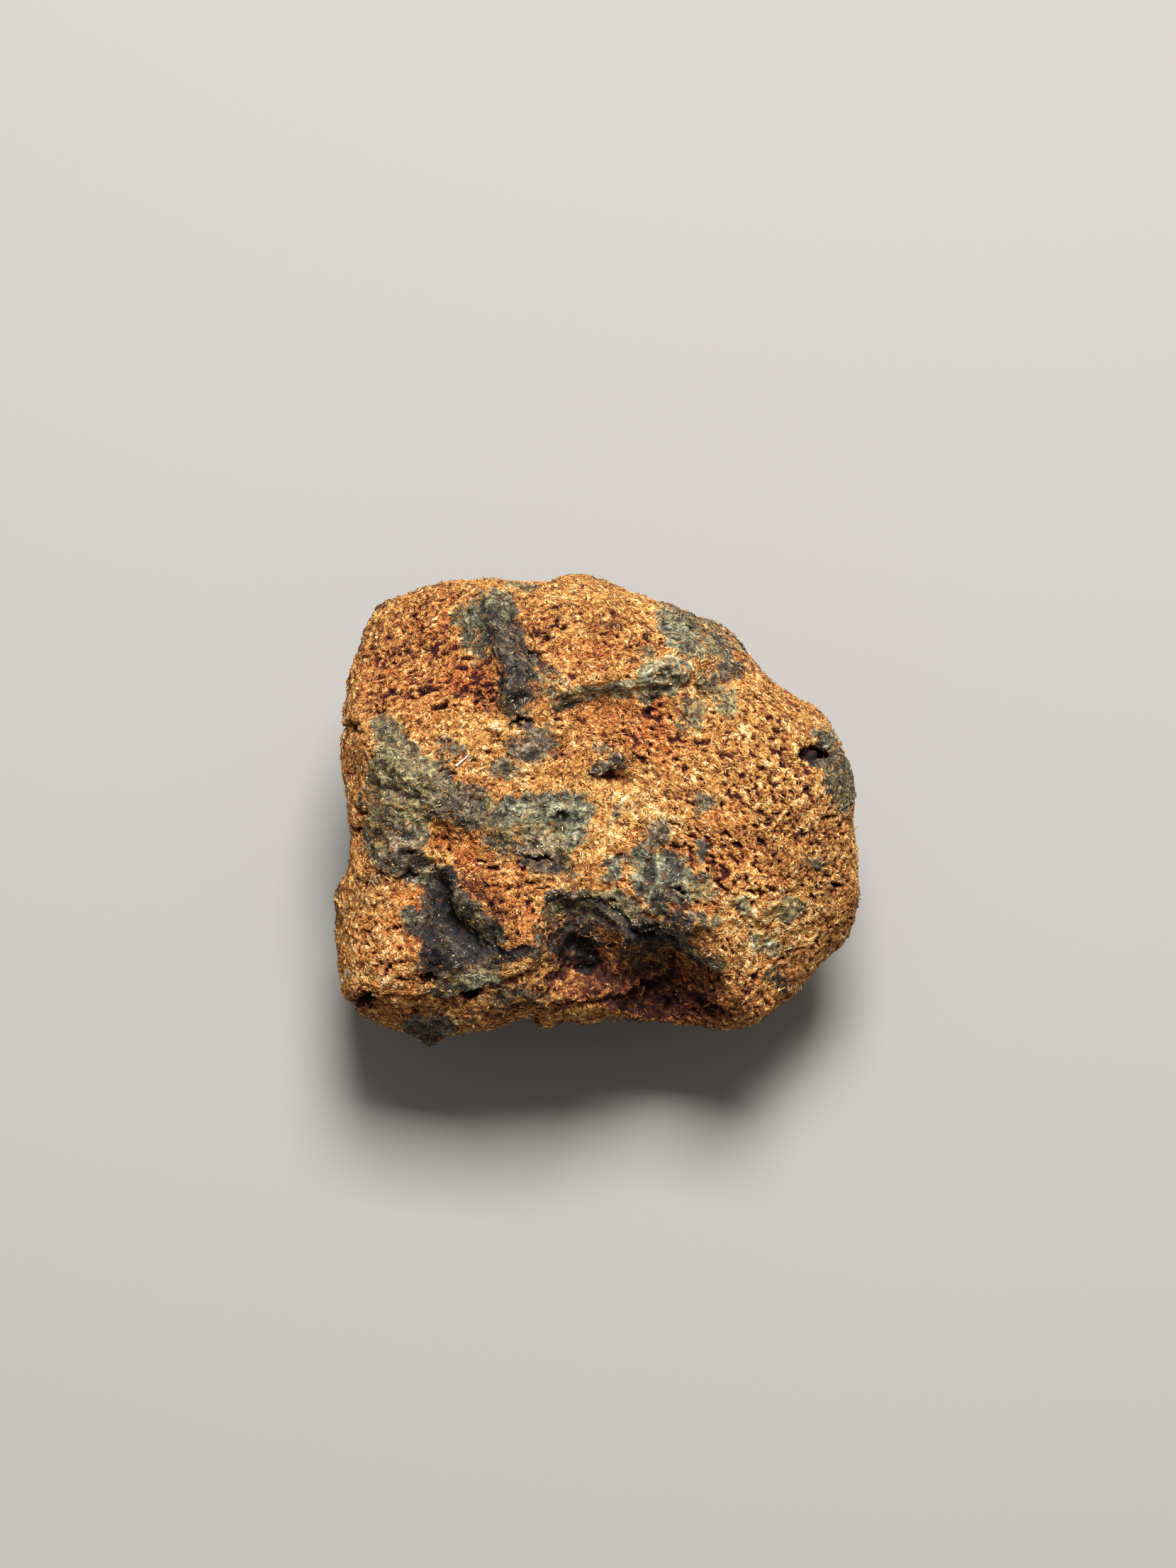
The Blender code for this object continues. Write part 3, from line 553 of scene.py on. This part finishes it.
rust_only = 1 - smooth_step(0.2, 0.7, crust)
pits = pit_field() * (0.2 + 0.8 * rust_only)
fine = 0.9 * along_grain(bumps, 0.21, 71) + 0.7 * bumps(points, 0.12, 77)
wrinkles = 0.5 - np.abs(bumps(points, 0.38, 81)) - 0.6 * np.abs(bumps(points, 0.17, 83))
thickness = CRUST_THICKNESS + 0.05 * (1 - on_face)
relief = (thickness + CRUST_WRINKLES * wrinkles) * smooth_step(0.25, 0.7, crust)
relief += 0.070 * crumbs(points, 1.1, 79) + 0.030 * bumps(points, 0.45, 75)
relief += 0.10 * (1 - on_face) * crumbs(points, 2.2, 87)
relief += CRUMB_HEIGHT * fine
relief -= PIT_DEPTH * pits + holes + drop
write = points + normals * relief[:, None]
write[:, 2] = np.maximum(write[:, 2], 0)
skin.data.vertices.foreach_set("co", write.ravel())
skin.data.update()
print("relief runs from", round(float(relief.min()), 2), "to", round(float(relief.max()), 2), "mm")

# %% [markdown]
# What was worked out per point is kept on the mesh as named attributes, which the material reads. Then
# the mesh is thinned with the Decimate operator, which spends the triangles where the surface bends, in
# pits and on ledges. The broad face is seen most closely, so it keeps the larger share of them.

# %% Keep the fields, and thin the mesh
FACE_TRIANGLES = 144000
OTHER_TRIANGLES = 98000


def keep_field(name, values):
    kept = skin.data.attributes.new(name, "FLOAT", "POINT")
    kept.data.foreach_set("value", np.clip(values, 0, 1).astype(np.float32))


def read_field(name):
    found = np.empty(len(skin.data.vertices), np.float32)
    skin.data.attributes[name].data.foreach_get("value", found)
    return found


def thin_part(chosen, triangles):
    """Thins the part of the skin whose points are chosen to about that many triangles."""
    skin.data.vertices.foreach_set("select", chosen)
    picked = sum(all(chosen[corner] for corner in face.vertices) for face in skin.data.polygons)
    select_only(skin)
    bpy.ops.object.mode_set(mode="EDIT")
    bpy.ops.mesh.select_mode(type="VERT")
    bpy.ops.mesh.decimate(ratio=triangles / (2 * picked))
    bpy.ops.object.mode_set(mode="OBJECT")


keep_field("crust", crust)
keep_field("tint", tint)
keep_field("red", 0.5 + 0.5 * red)
# The light field also carries painted light and shade: step rims are paler, and the feet of steps and the holes
# are darker as painted shade. The pit field darkens the pits, partly as darker rust and partly as painted shade,
# and darkens the holes as painted shade.
keep_field("light", 0.5 + 0.5 * (light + 0.6 * rim - 0.5 * foot - 3 * holes))
keep_field("pit", np.maximum(pits, 4 * holes))
# The height field makes the colour lighter on raised relief and darker in its dips and in the crust's creases:
# painted light and shade.
hard = smooth_step(0.3, 0.8, crust)
keep_field("height", 0.5 + 0.3 * fine * (1 - 0.6 * hard) + 0.40 * wrinkles * hard)
keep_field("on_face", on_face)
bpy.ops.object.mode_set(mode="EDIT")
bpy.ops.mesh.select_all(action="DESELECT")
bpy.ops.object.mode_set(mode="OBJECT")
thin_part(read_field("on_face") <= 0.5, OTHER_TRIANGLES)
thin_part(read_field("on_face") > 0.5, FACE_TRIANGLES)
skin.data.calc_loop_triangles()
print("skin has", len(skin.data.loop_triangles), "triangles")

# %% [markdown]
# The finest part of the rust is loose: flakes and short fibres, a tenth of a millimetre long, that cling
# to the skin. They are too many to place by hand. One sliver is a three-sided cylinder, which is a
# triangle swept along its length. Copies of it are strewn over the skin as one joined mesh, each with its
# own size, direction and shape, and each takes one of a few shades by how light, red or crusted the skin
# is below it. Fewer cling where the skin is pitted, so that the pits stay open and dark.

# %% Sizes and shades of the slivers
SLIVERS_PER_PIECE = 23500
SLIVER_LENGTH = 0.112
SLIVER_WIDTH = 0.038
GRAIN_RIGHT = np.array([math.cos(math.radians(-38)), math.sin(math.radians(-38)), 0])
Shade = namedtuple("Shade", "name colour roughness")
SHADES = [
    Shade("pale dry rust", "#efd396", 0.9),
    Shade("straw rust", "#dfae63", 0.9),
    Shade("ochre rust", "#c0833b", 0.9),
    Shade("tan rust", "#865229", 0.9),
    Shade("brown rust", "#4c1e1a", 0.9),
    Shade("orange rust", "#c06a28", 0.9),
    Shade("pale grey crust", "#aba28a", 0.75),
    Shade("grey-green crust", "#736b58", 0.7),
    Shade("dark crust", "#352e26", 0.6),
]
PALE, STRAW, OCHRE, TAN, BROWN, ORANGE, GREY, GREEN, DARK = range(len(SHADES))

# %% Strew slivers over the skin
skin_points = read_points(skin.data, "co")
skin_normals = read_points(skin.data, "normal")
triangle_corners = np.array([face.vertices[:] for face in skin.data.loop_triangles])
first, second, third = (skin_points[triangle_corners[:, k]] for k in range(3))
triangle_areas = np.linalg.norm(np.cross(second - first, third - first), axis=1) / 2


def mean_on_triangles(name):
    return read_field(name)[triangle_corners].mean(axis=1)


def unit(vectors):
    return vectors / np.linalg.norm(vectors, axis=1)[:, None]


def pick_shades(at, middle, random):
    """A shade for each sliver: lighter or darker rust, some of it orange, or one of the crust's."""
    lightness, redness, crusted = (mean_on_triangles(name)[at] for name in ("light", "red", "crust"))
    # The light field holds painted light and shade, so slivers take darker shades in shaded places and lighter
    # ones in lit places, crust slivers too.
    level = 2.15 - 3.6 * (lightness - 0.5) + 1.3 * bumps(middle, 0.17, 91)
    level += random.normal(0, 0.6, len(at)) + 0.2 * crusted
    shade = np.clip(np.round(level), PALE, BROWN).astype(int)
    fresh = random.random(len(shade)) < 0.04 + 0.9 * np.clip(redness - 0.50, 0, 1)
    shade[fresh & (shade < BROWN) & (crusted < 0.4)] = ORANGE
    patchy = crusted + 0.3 * bumps(middle, 0.25, 93)
    hard = random.random(len(shade)) < 0.80 * smooth_step(0.25, 1.05, patchy)
    tone = random.random(len(shade)) + 0.9 * (0.5 - lightness)
    shade[hard] = np.where(tone < 0.20, GREY, np.where(tone < 0.60, GREEN, DARK))[hard]
    return shade


def strew(name, seed, chosen, size=1.0):
    """One joined mesh of slivers on the chosen triangles of the skin."""
    random = np.random.default_rng(seed)
    count = SLIVERS_PER_PIECE
    chance = triangle_areas * chosen * (1 - smooth_step(0.1, 0.7, mean_on_triangles("pit")))
    chance *= 1 - 0.85 * mean_on_triangles("crust")
    # Fewer slivers cling where the light field holds painted shade, so that those places stay dark.
    chance *= 0.15 + 0.85 * smooth_step(0.0, 0.3, mean_on_triangles("light"))
    chance *= smooth_step(0.12, 0.24, skin_points[triangle_corners, 2].mean(axis=1))
    at = random.choice(len(chance), count, p=chance / chance.sum())
    mix = random.dirichlet((1, 1, 1), count)[:, :, None]
    corners = triangle_corners[at]
    middle = (skin_points[corners] * mix).sum(axis=1)
    out = unit((skin_normals[corners] * mix).sum(axis=1))
    where_u, where_v = face_position(middle)
    either_way = random.choice((-1, 1), count)[:, None]
    lean = 1.2 * smooth_step(-1.0, 2.0, where_u)[:, None] * either_way * GRAIN_RIGHT
    heading = random.normal(size=(count, 3)) + lean
    flat = unit(heading - (heading * out).sum(axis=1)[:, None] * out)
    along = unit(flat + random.normal(0.10, 0.18, count)[:, None] * out)
    across = unit(np.cross(out, along))
    up = np.cross(along, across)
    length = size * SLIVER_LENGTH * random.lognormal(0, 0.42, count)
    width = size * SLIVER_WIDTH * random.lognormal(0, 0.30, count)
    bpy.ops.mesh.primitive_cylinder_add(vertices=3, radius=0.5, depth=1)
    template = bpy.context.object
    shape = read_points(template.data, "co")
    faces = [list(face.vertices) for face in template.data.polygons]
    bpy.data.objects.remove(template)
    shapes = shape[None] + random.normal(0, 0.16, (count, len(shape), 3))
    shapes[:, :, :2] *= np.where(shape[:, 2] > 0, 0.55, 1.0)[None, :, None]
    placed = (
        middle[:, None] + (0.15 * width[:, None] * out)[:, None]
        + shapes[:, :, 2:] * (length[:, None] * along)[:, None]
        + shapes[:, :, :1] * (width[:, None] * across)[:, None]
        + shapes[:, :, 1:2] * (0.8 * width[:, None] * up)[:, None]
    )
    shade = pick_shades(at, middle, random)
    made = bpy.data.meshes.new(name)
    offsets = len(shape) * np.arange(count)
    corner_list = np.concatenate([np.array(face)[None] + offsets[:, None] for face in faces], axis=1)
    sizes = np.tile([len(face) for face in faces], count)
    made.vertices.add(placed.shape[0] * placed.shape[1])
    made.vertices.foreach_set("co", (placed * MM).ravel())
    made.loops.add(corner_list.size)
    made.loops.foreach_set("vertex_index", corner_list.ravel())
    made.polygons.add(len(sizes))
    made.polygons.foreach_set("loop_start", np.concatenate([[0], np.cumsum(sizes)[:-1]]))
    made.polygons.foreach_set("material_index", np.repeat(shade, len(faces)))
    made.update(calc_edges=True)
    made.validate()
    strewn = bpy.data.objects.new(name, made)
    bpy.context.scene.collection.objects.link(strewn)
    return strewn


broad_face = mean_on_triangles("on_face")
slivers = [
    strew("rust_slivers_face_a", 1, broad_face),
    strew("rust_slivers_face_b", 2, broad_face),
    strew("rust_slivers_sides", 3, 1 - broad_face, 0.85),
    strew("rust_slivers_back", 4, 1 - broad_face, 0.85),
]
print("slivers:", SLIVERS_PER_PIECE * len(slivers), "in", len(slivers), "pieces")

# %% [markdown]
# One splinter is larger than the rest, and almost white: a chip of bright crust that lies loose on the
# left of the face. It is a six-sided cylinder that is tapered in edit mode and laid on the skin.

# %% One pale splinter
SPLINTER_U, SPLINTER_V = -3.80, 1.44
SPLINTER_LENGTH = 0.44
SPLINTER_WIDTH = 0.065
SPLINTER_TURN = math.radians(40)


def make_splinter():
    bpy.ops.mesh.primitive_cylinder_add(vertices=6, radius=SPLINTER_WIDTH / 2, depth=SPLINTER_LENGTH)
    made = bpy.context.object
    made.name = "pale_splinter"
    bpy.ops.object.mode_set(mode="EDIT")
    bpy.ops.mesh.select_all(action="DESELECT")
    bpy.ops.object.mode_set(mode="OBJECT")
    for face in made.data.polygons:
        face.select = face.normal.z > 0.5
    bpy.ops.object.mode_set(mode="EDIT")
    bpy.ops.transform.resize(value=(0.35, 0.35, 1))
    bpy.ops.object.mode_set(mode="OBJECT")
    seen_u, seen_v = face_position(skin_points)
    away = np.hypot(seen_u - SPLINTER_U, seen_v - SPLINTER_V) + 10 * (read_field("on_face") < 0.5)
    spot = Vector(skin_points[away.argmin()]) + SPLINTER_WIDTH * Vector(FACE_OUT)
    along = Vector(math.cos(SPLINTER_TURN) * np.array([1, 0, 0]) + math.sin(SPLINTER_TURN) * FACE_UP)
    turned = along.to_track_quat("Z", "Y").to_matrix().to_4x4()
    made.data.transform(Matrix.Scale(MM, 4) @ Matrix.Translation(spot) @ turned)
    return made


splinter = make_splinter()
print("splinter faces:", len(splinter.data.polygons))

# %% [markdown]
# When the model is exported, the skin's pattern is painted into a flat image. Blender's own layout would
# cut the rough skin into thousands of scraps, so it gets a layout of six flat charts, one for each main
# direction, chosen by where a face lies on a smooth egg shape of the stone's size. The charts stand in
# three rows, and all have the same scale.

# %% Lay the skin out for the export
CHART_GAP = 0.4
FACE_RIGHT = np.array([1, 0, 0])


def chart_layout():
    """The place of every corner in the six charts, in mm, and the side of the square they need."""
    to_face = np.array([FACE_RIGHT, FACE_UP, FACE_OUT]).T
    seen = read_points(skin.data, "co") @ to_face
    middle, reach = (seen.max(axis=0) + seen.min(axis=0)) / 2, np.ptp(seen, axis=0) / 2
    corner = np.array([loop.vertex_index for loop in skin.data.loops])
    sizes = np.array([len(face.vertices) for face in skin.data.polygons])
    outward = np.add.reduceat((seen[corner] - middle) / reach**2, np.cumsum(sizes) - sizes)
    main = np.abs(outward).argmax(axis=1)
    chart = np.repeat(2 * main + (np.take_along_axis(outward, main[:, None], 1)[:, 0] < 0), sizes)
    place = np.zeros((len(corner), 2))
    top, widest = 0.0, 0.0
    for row in (2, 1, 0):
        left, height = 0.0, 0.0
        for number in (2 * row, 2 * row + 1):
            inside = chart == number
            flat = np.delete(seen[corner[inside]], row, axis=1)
            flat = flat[:, ::-1] if row == 0 and np.ptp(flat[:, 1]) > np.ptp(flat[:, 0]) else flat
            place[inside] = flat - flat.min(axis=0) + (left, top)
            left += np.ptp(flat[:, 0]) + CHART_GAP
            height = max(height, np.ptp(flat[:, 1]) + CHART_GAP)
        top += height
        widest = max(widest, left)
    return place, max(top, widest)


place, side = chart_layout()
layout = skin.data.uv_layers.new(name="OFBake")
layout.data.foreach_set("uv", (place / side).astype(np.float32).ravel())
skin.data.transform(Matrix.Scale(MM, 4))
select_only(skin)
bpy.ops.object.shade_smooth()
print("the charts fill a square of", round(side, 1), "mm")


# %% [markdown]
# A colour is written as the sRGB hex value that a paint program shows, and turned to the linear value
# that the renderer needs. One small helper adds a node with its settings and links.

# %% Colour and node helpers
def linear(hex_colour):
    channels = [int(hex_colour[k : k + 2], 16) / 255 for k in (1, 3, 5)]
    return (*(c / 12.92 if c <= 0.04045 else ((c + 0.055) / 1.055) ** 2.4 for c in channels), 1)


def add_node(tree, kind, inputs=None, **settings):
    """Adds a node. An input is a value, or another node's output socket to link."""
    node = tree.nodes.new(kind)
    for name, value in settings.items():
        setattr(node, name, value)
    for name, value in (inputs or {}).items():
        if isinstance(value, bpy.types.NodeSocket):
            tree.links.new(value, node.inputs[name])
        else:
            node.inputs[name].default_value = value
    return node


def set_stops(ramp, stops):
    """Gives a Color Ramp node its stops: pairs of place and hex colour."""
    elements = ramp.color_ramp.elements
    while len(elements) < len(stops):
        elements.new(0.5)
    for element, (place, hex_colour) in zip(elements, stops):
        element.position = place
        element.color = linear(hex_colour)


# %% [markdown]
# The rust is iron oxide hydroxide, a dull earthy crumb of short fibres. Each fibre is a few hundredths of
# a millimetre thick and a few tenths long, so the noise that draws them has that size, stretched along
# two crossing directions. Light fibres are worn and dry, dark gaps lie between them, so the same value
# picks the colour and lifts the bump. That value is also lighter on the crests of the fine relief and
# darker in its dips, which is painted light and shade. The crust is magnetite: dark, a little glossy,
# with tiny glints, which are glossier spots that also carry pale specks in the colour, a painted
# highlight, and it is dusted with the same fibres.

# %% Material of the weathered iron
GRAIN = 0.085 * MM
FIBRE = 0.11 * MM
FLECK = 0.22 * MM
MOTTLE = 0.60 * MM
GLINT = 0.075 * MM
CREASE = 0.30 * MM
BUMP = 0.035 * MM
CRUST_SHINE = 0.36
OCHRE_RUST = [
    (0.00, "#350e10"), (0.20, "#622619"), (0.38, "#905628"), (0.55, "#bc8440"),
    (0.72, "#dfb069"), (0.88, "#f1d69c"), (1.00, "#fbebc8"),
]
RED_RUST = [
    (0.00, "#300c0d"), (0.20, "#642015"), (0.38, "#984a1e"), (0.55, "#c27236"),
    (0.72, "#df9e5b"), (0.88, "#f0c892"), (1.00, "#f8e0b8"),
]
CRUST_GREY = [
    (0.00, "#080706"), (0.22, "#25211b"), (0.42, "#4e473b"), (0.60, "#7d7560"),
    (0.76, "#aba081"), (0.90, "#d2c4a2"), (1.00, "#efe8d6"),
]
CRUST_TINTS = [(0.0, "#8c7558"), (0.33, "#eedcd0"), (0.66, "#f2e6b8"), (1.0, "#f0f7ea")]
PAINTED_GLINT_COLOUR = "#e9e8e4"
PAINTED_SHADE_RUST = "#200704"


def weathered_iron():
    made = bpy.data.materials.new("rusted nickel-iron with magnetite crust")
    made.use_nodes = True
    tree = made.node_tree
    shader = tree.nodes["Principled BSDF"]
    place = add_node(tree, "ShaderNodeTexCoord").outputs["Object"]

    def field(name):
        return add_node(tree, "ShaderNodeAttribute", attribute_name=name).outputs["Fac"]

    def maths(operation, a, b=0.5, c=0.0):
        return add_node(tree, "ShaderNodeMath", {0: a, 1: b, 2: c}, operation=operation).outputs[0]

    def plus(a, b, gain):
        return maths("MULTIPLY_ADD", b, gain, a)

    def blend(factor, a, b, **settings):
        return add_node(
            tree, "ShaderNodeMix", {"Factor": factor, 6: a, 7: b}, data_type="RGBA", **settings
        ).outputs[2]

    def ramp(value, stops):
        made = add_node(tree, "ShaderNodeValToRGB", {"Fac": value})
        set_stops(made, stops)
        return made.outputs[0]

    def pattern(size, detail=2.0, stretch=(1, 1, 1), turn=0.0, distortion=0.0):
        """Noise centred on 0, with features of about that size, stretched along a turned direction."""
        turned = add_node(
            tree, "ShaderNodeMapping",
            {"Vector": place, "Rotation": (0, 0, math.radians(turn)), "Scale": stretch},
            vector_type="TEXTURE",
        )
        noise_node = add_node(
            tree, "ShaderNodeTexNoise",
            {"Vector": turned.outputs[0], "Scale": 1 / size, "Detail": detail, "Distortion": distortion},
        )
        return maths("SUBTRACT", noise_node.outputs["Fac"])

    def creases(size):
        """Thin dark lines that wander, 1 in the middle of a line and 0 beside it."""
        away = maths("ABSOLUTE", pattern(size, 4.0, distortion=0.9))
        return add_node(
            tree, "ShaderNodeMapRange",
            {"Value": away, "From Min": 0.0, "From Max": 0.05, "To Min": 1.0, "To Max": 0.0},
        ).outputs[0]

    def fibres(turn):
        """Thin bright lines, a few tenths of a millimetre long, across darker gaps."""
        return plus(0.5, maths("ABSOLUTE", pattern(FIBRE, 1.5, (1.9, 0.6, 1), turn, 0.8)), -5.0)

    grain = pattern(GRAIN, 3.0, distortion=0.4)
    flecks = pattern(FLECK, 3.0, distortion=0.6)
    mottle = pattern(MOTTLE, 3.0)
    strands = maths("MAXIMUM", fibres(-38), fibres(40))

    texture = plus(plus(0.0, grain, 0.9), strands, 0.28)
    # The height field lightens the crests of the relief and darkens its dips: painted light and shade.
    texture = plus(texture, maths("SUBTRACT", field("height")), 0.55)
    value = plus(plus(0.41, texture, 1.35), mottle, 0.30)
    # The light field brings painted light and shade into the rust's colour, and the pit field darkens the pits
    # and holes.
    value = plus(value, maths("SUBTRACT", field("light")), 0.56)
    value = plus(value, field("pit"), -0.62)
    value = plus(value, field("crust"), 0.10)
    redness = add_node(
        tree, "ShaderNodeMapRange",
        {"Value": plus(plus(field("red"), mottle, 0.6), field("crust"), -0.3),
         "From Min": 0.42, "From Max": 1.05},
    ).outputs[0]
    rust = blend(redness, ramp(value, OCHRE_RUST), ramp(value, RED_RUST))
    # Where the light field is lowest, in the cave and the hollow, the rust is darkened further toward
    # near-black: painted shade.
    deep = add_node(
        tree, "ShaderNodeMapRange",
        {"Value": field("light"), "From Min": 0.0, "From Max": 0.25, "To Min": 0.8, "To Max": 0.0},
    ).outputs[0]
    rust = blend(deep, rust, linear(PAINTED_SHADE_RUST))

    crust_value = plus(plus(plus(0.44, texture, 1.1), mottle, 0.40), flecks, 0.75)
    # The crust takes the same painted light and shade from the light field.
    crust_value = plus(crust_value, maths("SUBTRACT", field("light")), 0.75)
    crust_value = plus(crust_value, field("pit"), -0.40)
    cracked = maths("MULTIPLY", creases(CREASE), creases(3 * CREASE), 0.0)
    crust_value = plus(plus(crust_value, creases(CREASE), -0.14), cracked, -0.20)
    tints = ramp(plus(field("tint"), mottle, 0.6), CRUST_TINTS)
    dark = blend(1.0, ramp(crust_value, CRUST_GREY), tints, blend_type="MULTIPLY")
    # Glints on the bare crust are painted into its colour as pale specks, a painted highlight, and are also made
    # glossier.
    sparkle = add_node(
        tree, "ShaderNodeMapRange",
        {"Value": plus(pattern(GLINT, 1.0), flecks, 0.35), "From Min": 0.22, "From Max": 0.29},
    ).outputs[0]
    bare = add_node(
        tree, "ShaderNodeMapRange",
        {"Value": field("crust"), "From Min": 0.85, "From Max": 1.0, "To Max": 0.7},
    ).outputs[0]
    glints = maths("MULTIPLY", sparkle, bare)
    dark = blend(glints, dark, linear(PAINTED_GLINT_COLOUR))

    dusted = plus(plus(field("crust"), grain, 1.2), flecks, 1.5)
    dusted = plus(plus(dusted, mottle, 0.6), strands, -0.12)
    cover = add_node(
        tree, "ShaderNodeMapRange",
        {"Value": dusted, "From Min": 0.27, "From Max": 0.80}, interpolation_type="SMOOTHSTEP",
    ).outputs[0]
    colour = blend(cover, rust, dark)

    bump = add_node(tree, "ShaderNodeBump", {"Height": texture, "Strength": 1.0, "Distance": BUMP})
    rough = add_node(tree, "ShaderNodeMapRange", {"Value": cover, "To Min": 0.95, "To Max": 0.62})
    tree.links.new(colour, shader.inputs["Base Color"])
    tree.links.new(plus(rough.outputs[0], glints, -0.35), shader.inputs["Roughness"])
    tree.links.new(bump.outputs[0], shader.inputs["Normal"])
    shader.inputs["Specular IOR Level"].default_value = CRUST_SHINE
    return made


skin.data.materials.append(weathered_iron())
print("material nodes:", len(skin.data.materials[0].node_tree.nodes))

# %% [markdown]
# A sliver is thinner than a hair, so it needs no pattern of its own: the mix of shades is the pattern.
# The rust shades are matt, and the crust shades are a little glossy.

# %% Materials of the slivers
def sliver_material(shade):
    made = bpy.data.materials.new(shade.name)
    made.use_nodes = True
    shader = made.node_tree.nodes["Principled BSDF"]
    shader.inputs["Base Color"].default_value = linear(shade.colour)
    shader.inputs["Roughness"].default_value = shade.roughness
    return made


sliver_materials = [sliver_material(shade) for shade in SHADES]
for strewn in slivers:
    for material in sliver_materials:
        strewn.data.materials.append(material)
splinter.data.materials.append(sliver_material(Shade("bright chip of crust", "#f4ecd8", 0.5)))
print("sliver shades:", len(sliver_materials))

# %% [markdown]
# The stone lies on a plain pale floor. The main light is large and comes from beyond the stone, so the
# ledges throw short shadows towards the viewer's side, and a dim all-round light fills them.

# %% Floor, light and camera
FLOOR_SIZE = 2.0
FLOOR_COLOUR = "#9c9994"
FILL = 0.24
KEY_POWER = 0.72
KEY_SIZE = 0.08
KEY_PLACE = (0.012, 0.084, 0.175)
SENSOR = 36.0
FRAME_HEIGHT = 44.24
AIM_U = -0.26
AIM_V = 0.73


def make_floor():
    bpy.ops.mesh.primitive_plane_add(size=FLOOR_SIZE)
    floor = bpy.context.object
    floor.name = "floor"
    paint = bpy.data.materials.new("matt pale card")
    paint.use_nodes = True
    paint.node_tree.nodes["Principled BSDF"].inputs["Base Color"].default_value = linear(FLOOR_COLOUR)
    paint.node_tree.nodes["Principled BSDF"].inputs["Roughness"].default_value = 0.9
    floor.data.materials.append(paint)


def make_light():
    bpy.ops.object.light_add(type="AREA", location=KEY_PLACE)
    key = bpy.context.object
    key.name = "key light"
    key.data.energy = KEY_POWER
    key.data.size = KEY_SIZE
    key.rotation_euler = (-Vector(KEY_PLACE)).to_track_quat("-Z", "Y").to_euler()
    world = bpy.data.worlds.new("soft fill")
    world.use_nodes = True
    world.node_tree.nodes["Background"].inputs[0].default_value = (FILL, FILL, FILL, 1)
    bpy.context.scene.world = world


def make_camera():
    """Looks square at the broad face, from in front and 75 degrees up."""
    out = Vector(FACE_OUT)
    target = (Vector((AIM_U, 0, 0)) + Vector(FACE_UP) * (MIDDLE_V + AIM_V) + out * MIDDLE_W) * MM
    bpy.ops.object.camera_add(location=target + out * VIEW_DISTANCE * MM)
    camera = bpy.context.object
    camera.rotation_euler = out.to_track_quat("Z", "Y").to_euler()
    camera.data.sensor_width = SENSOR
    camera.data.lens = SENSOR * VIEW_DISTANCE / FRAME_HEIGHT
    camera.data.clip_start = 0.001
    bpy.context.scene.camera = camera


make_floor()
make_light()
make_camera()
bpy.context.scene.view_settings.view_transform = "Standard"
print("camera lens, mm:", round(bpy.context.scene.camera.data.lens, 1))

# %% [markdown]
# Last, the skin takes the place of the plain solid, and it and the slivers ride on the stone's one body.

# %% Finish
for piece in (skin, *slivers, splinter):
    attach(piece, "root")
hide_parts("meteorite")
